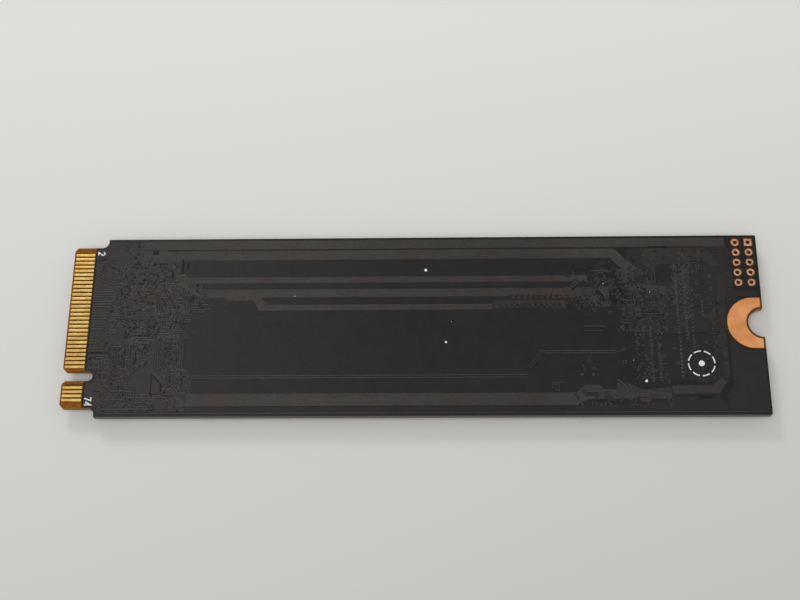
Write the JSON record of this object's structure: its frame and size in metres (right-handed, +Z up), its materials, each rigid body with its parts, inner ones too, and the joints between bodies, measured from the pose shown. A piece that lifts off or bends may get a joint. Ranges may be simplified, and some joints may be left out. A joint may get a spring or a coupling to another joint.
{
  "type": "gumstick solid state drive",
  "caption": "Bare circuit card drive, long and thin, with a keyed edge connector at one end, a half-round screw notch at the other and chips on its lower face.",
  "frame": {"origin": "below the middle of the card, on the surface that the flash chips rest on", "axes": "+X from the contact edge to the screw end, +Y across the card towards contact 2, +Z up out of the plain side"},
  "size_m": [0.08, 0.022, 0.0021],
  "materials": {
    "fibreglass_laminate": "sawn glass and epoxy laminate, brown",
    "black_solder_mask": "black solder mask, satin, raised over copper",
    "gold_plating": "hard gold over nickel, bright",
    "bare_copper": "copper with a clear protective finish, satin",
    "plated_copper": "plated copper lands, satin",
    "moulded_epoxy": "moulded epoxy compound, fine matt grain",
    "solder": "reflowed tin alloy, satin",
    "tinned_copper": "matt tin plating",
    "pressed_iron_powder": "pressed iron powder, dark grey",
    "fired_ceramic": "fired ceramic, dark brown",
    "nickel_plated_steel": "nickel plated lid, satin",
    "fuse_glaze": "glazed ceramic, pale green",
    "ferrite": "fired ferrite, dark grey",
    "capacitor_ceramic": "fired ceramic, tan brown",
    "resistor_glaze": "black glaze over white ceramic"
  },
  "bodies": {
    "root": {"board_laminate": "fibreglass_laminate", "boot_memory_chip": "moulded_epoxy", "boot_memory_chip_legs": "tinned_copper", "buffer_memory_chip": "moulded_epoxy", "buffer_memory_solder_balls": "solder", "controller_chip": "moulded_epoxy", "controller_solder_balls": "solder", "crystal_base": "fired_ceramic", "crystal_lid": "nickel_plated_steel", "edge_contacts_even": "gold_plating", "edge_contacts_odd": "gold_plating", "ferrite_bead_ends": "tinned_copper", "ferrite_beads": "ferrite", "flash_chips": "moulded_epoxy", "flash_solder_balls": "solder", "ground_pad_component_side": "bare_copper", "ground_pad_plain_side": "bare_copper", "header_barrels": "plated_copper", "input_fuse": "fuse_glaze", "input_fuse_ends": "tinned_copper", "large_capacitor_ends": "tinned_copper", "large_capacitors": "capacitor_ceramic", "load_switch": "moulded_epoxy", "load_switch_legs": "tinned_copper", "medium_capacitor_ends": "tinned_copper", "medium_capacitors": "capacitor_ceramic", "polymer_capacitor": "moulded_epoxy", "polymer_capacitor_terminals": "tinned_copper", "power_inductor_terminals": "tinned_copper", "power_inductors": "pressed_iron_powder", "power_management_chip": "moulded_epoxy", "power_management_chip_pins": "tinned_copper", "resistor_network_terminals": "tinned_copper", "resistor_networks": "resistor_glaze", "small_capacitor_ends": "tinned_copper", "small_capacitors": "capacitor_ceramic", "small_resistor_ends": "tinned_copper", "small_resistors": "resistor_glaze", "solder_mask_component_side": "black_solder_mask", "solder_mask_plain_side": "black_solder_mask", "temperature_sensor": "moulded_epoxy", "temperature_sensor_legs": "tinned_copper"}
  },
  "joints": []
}
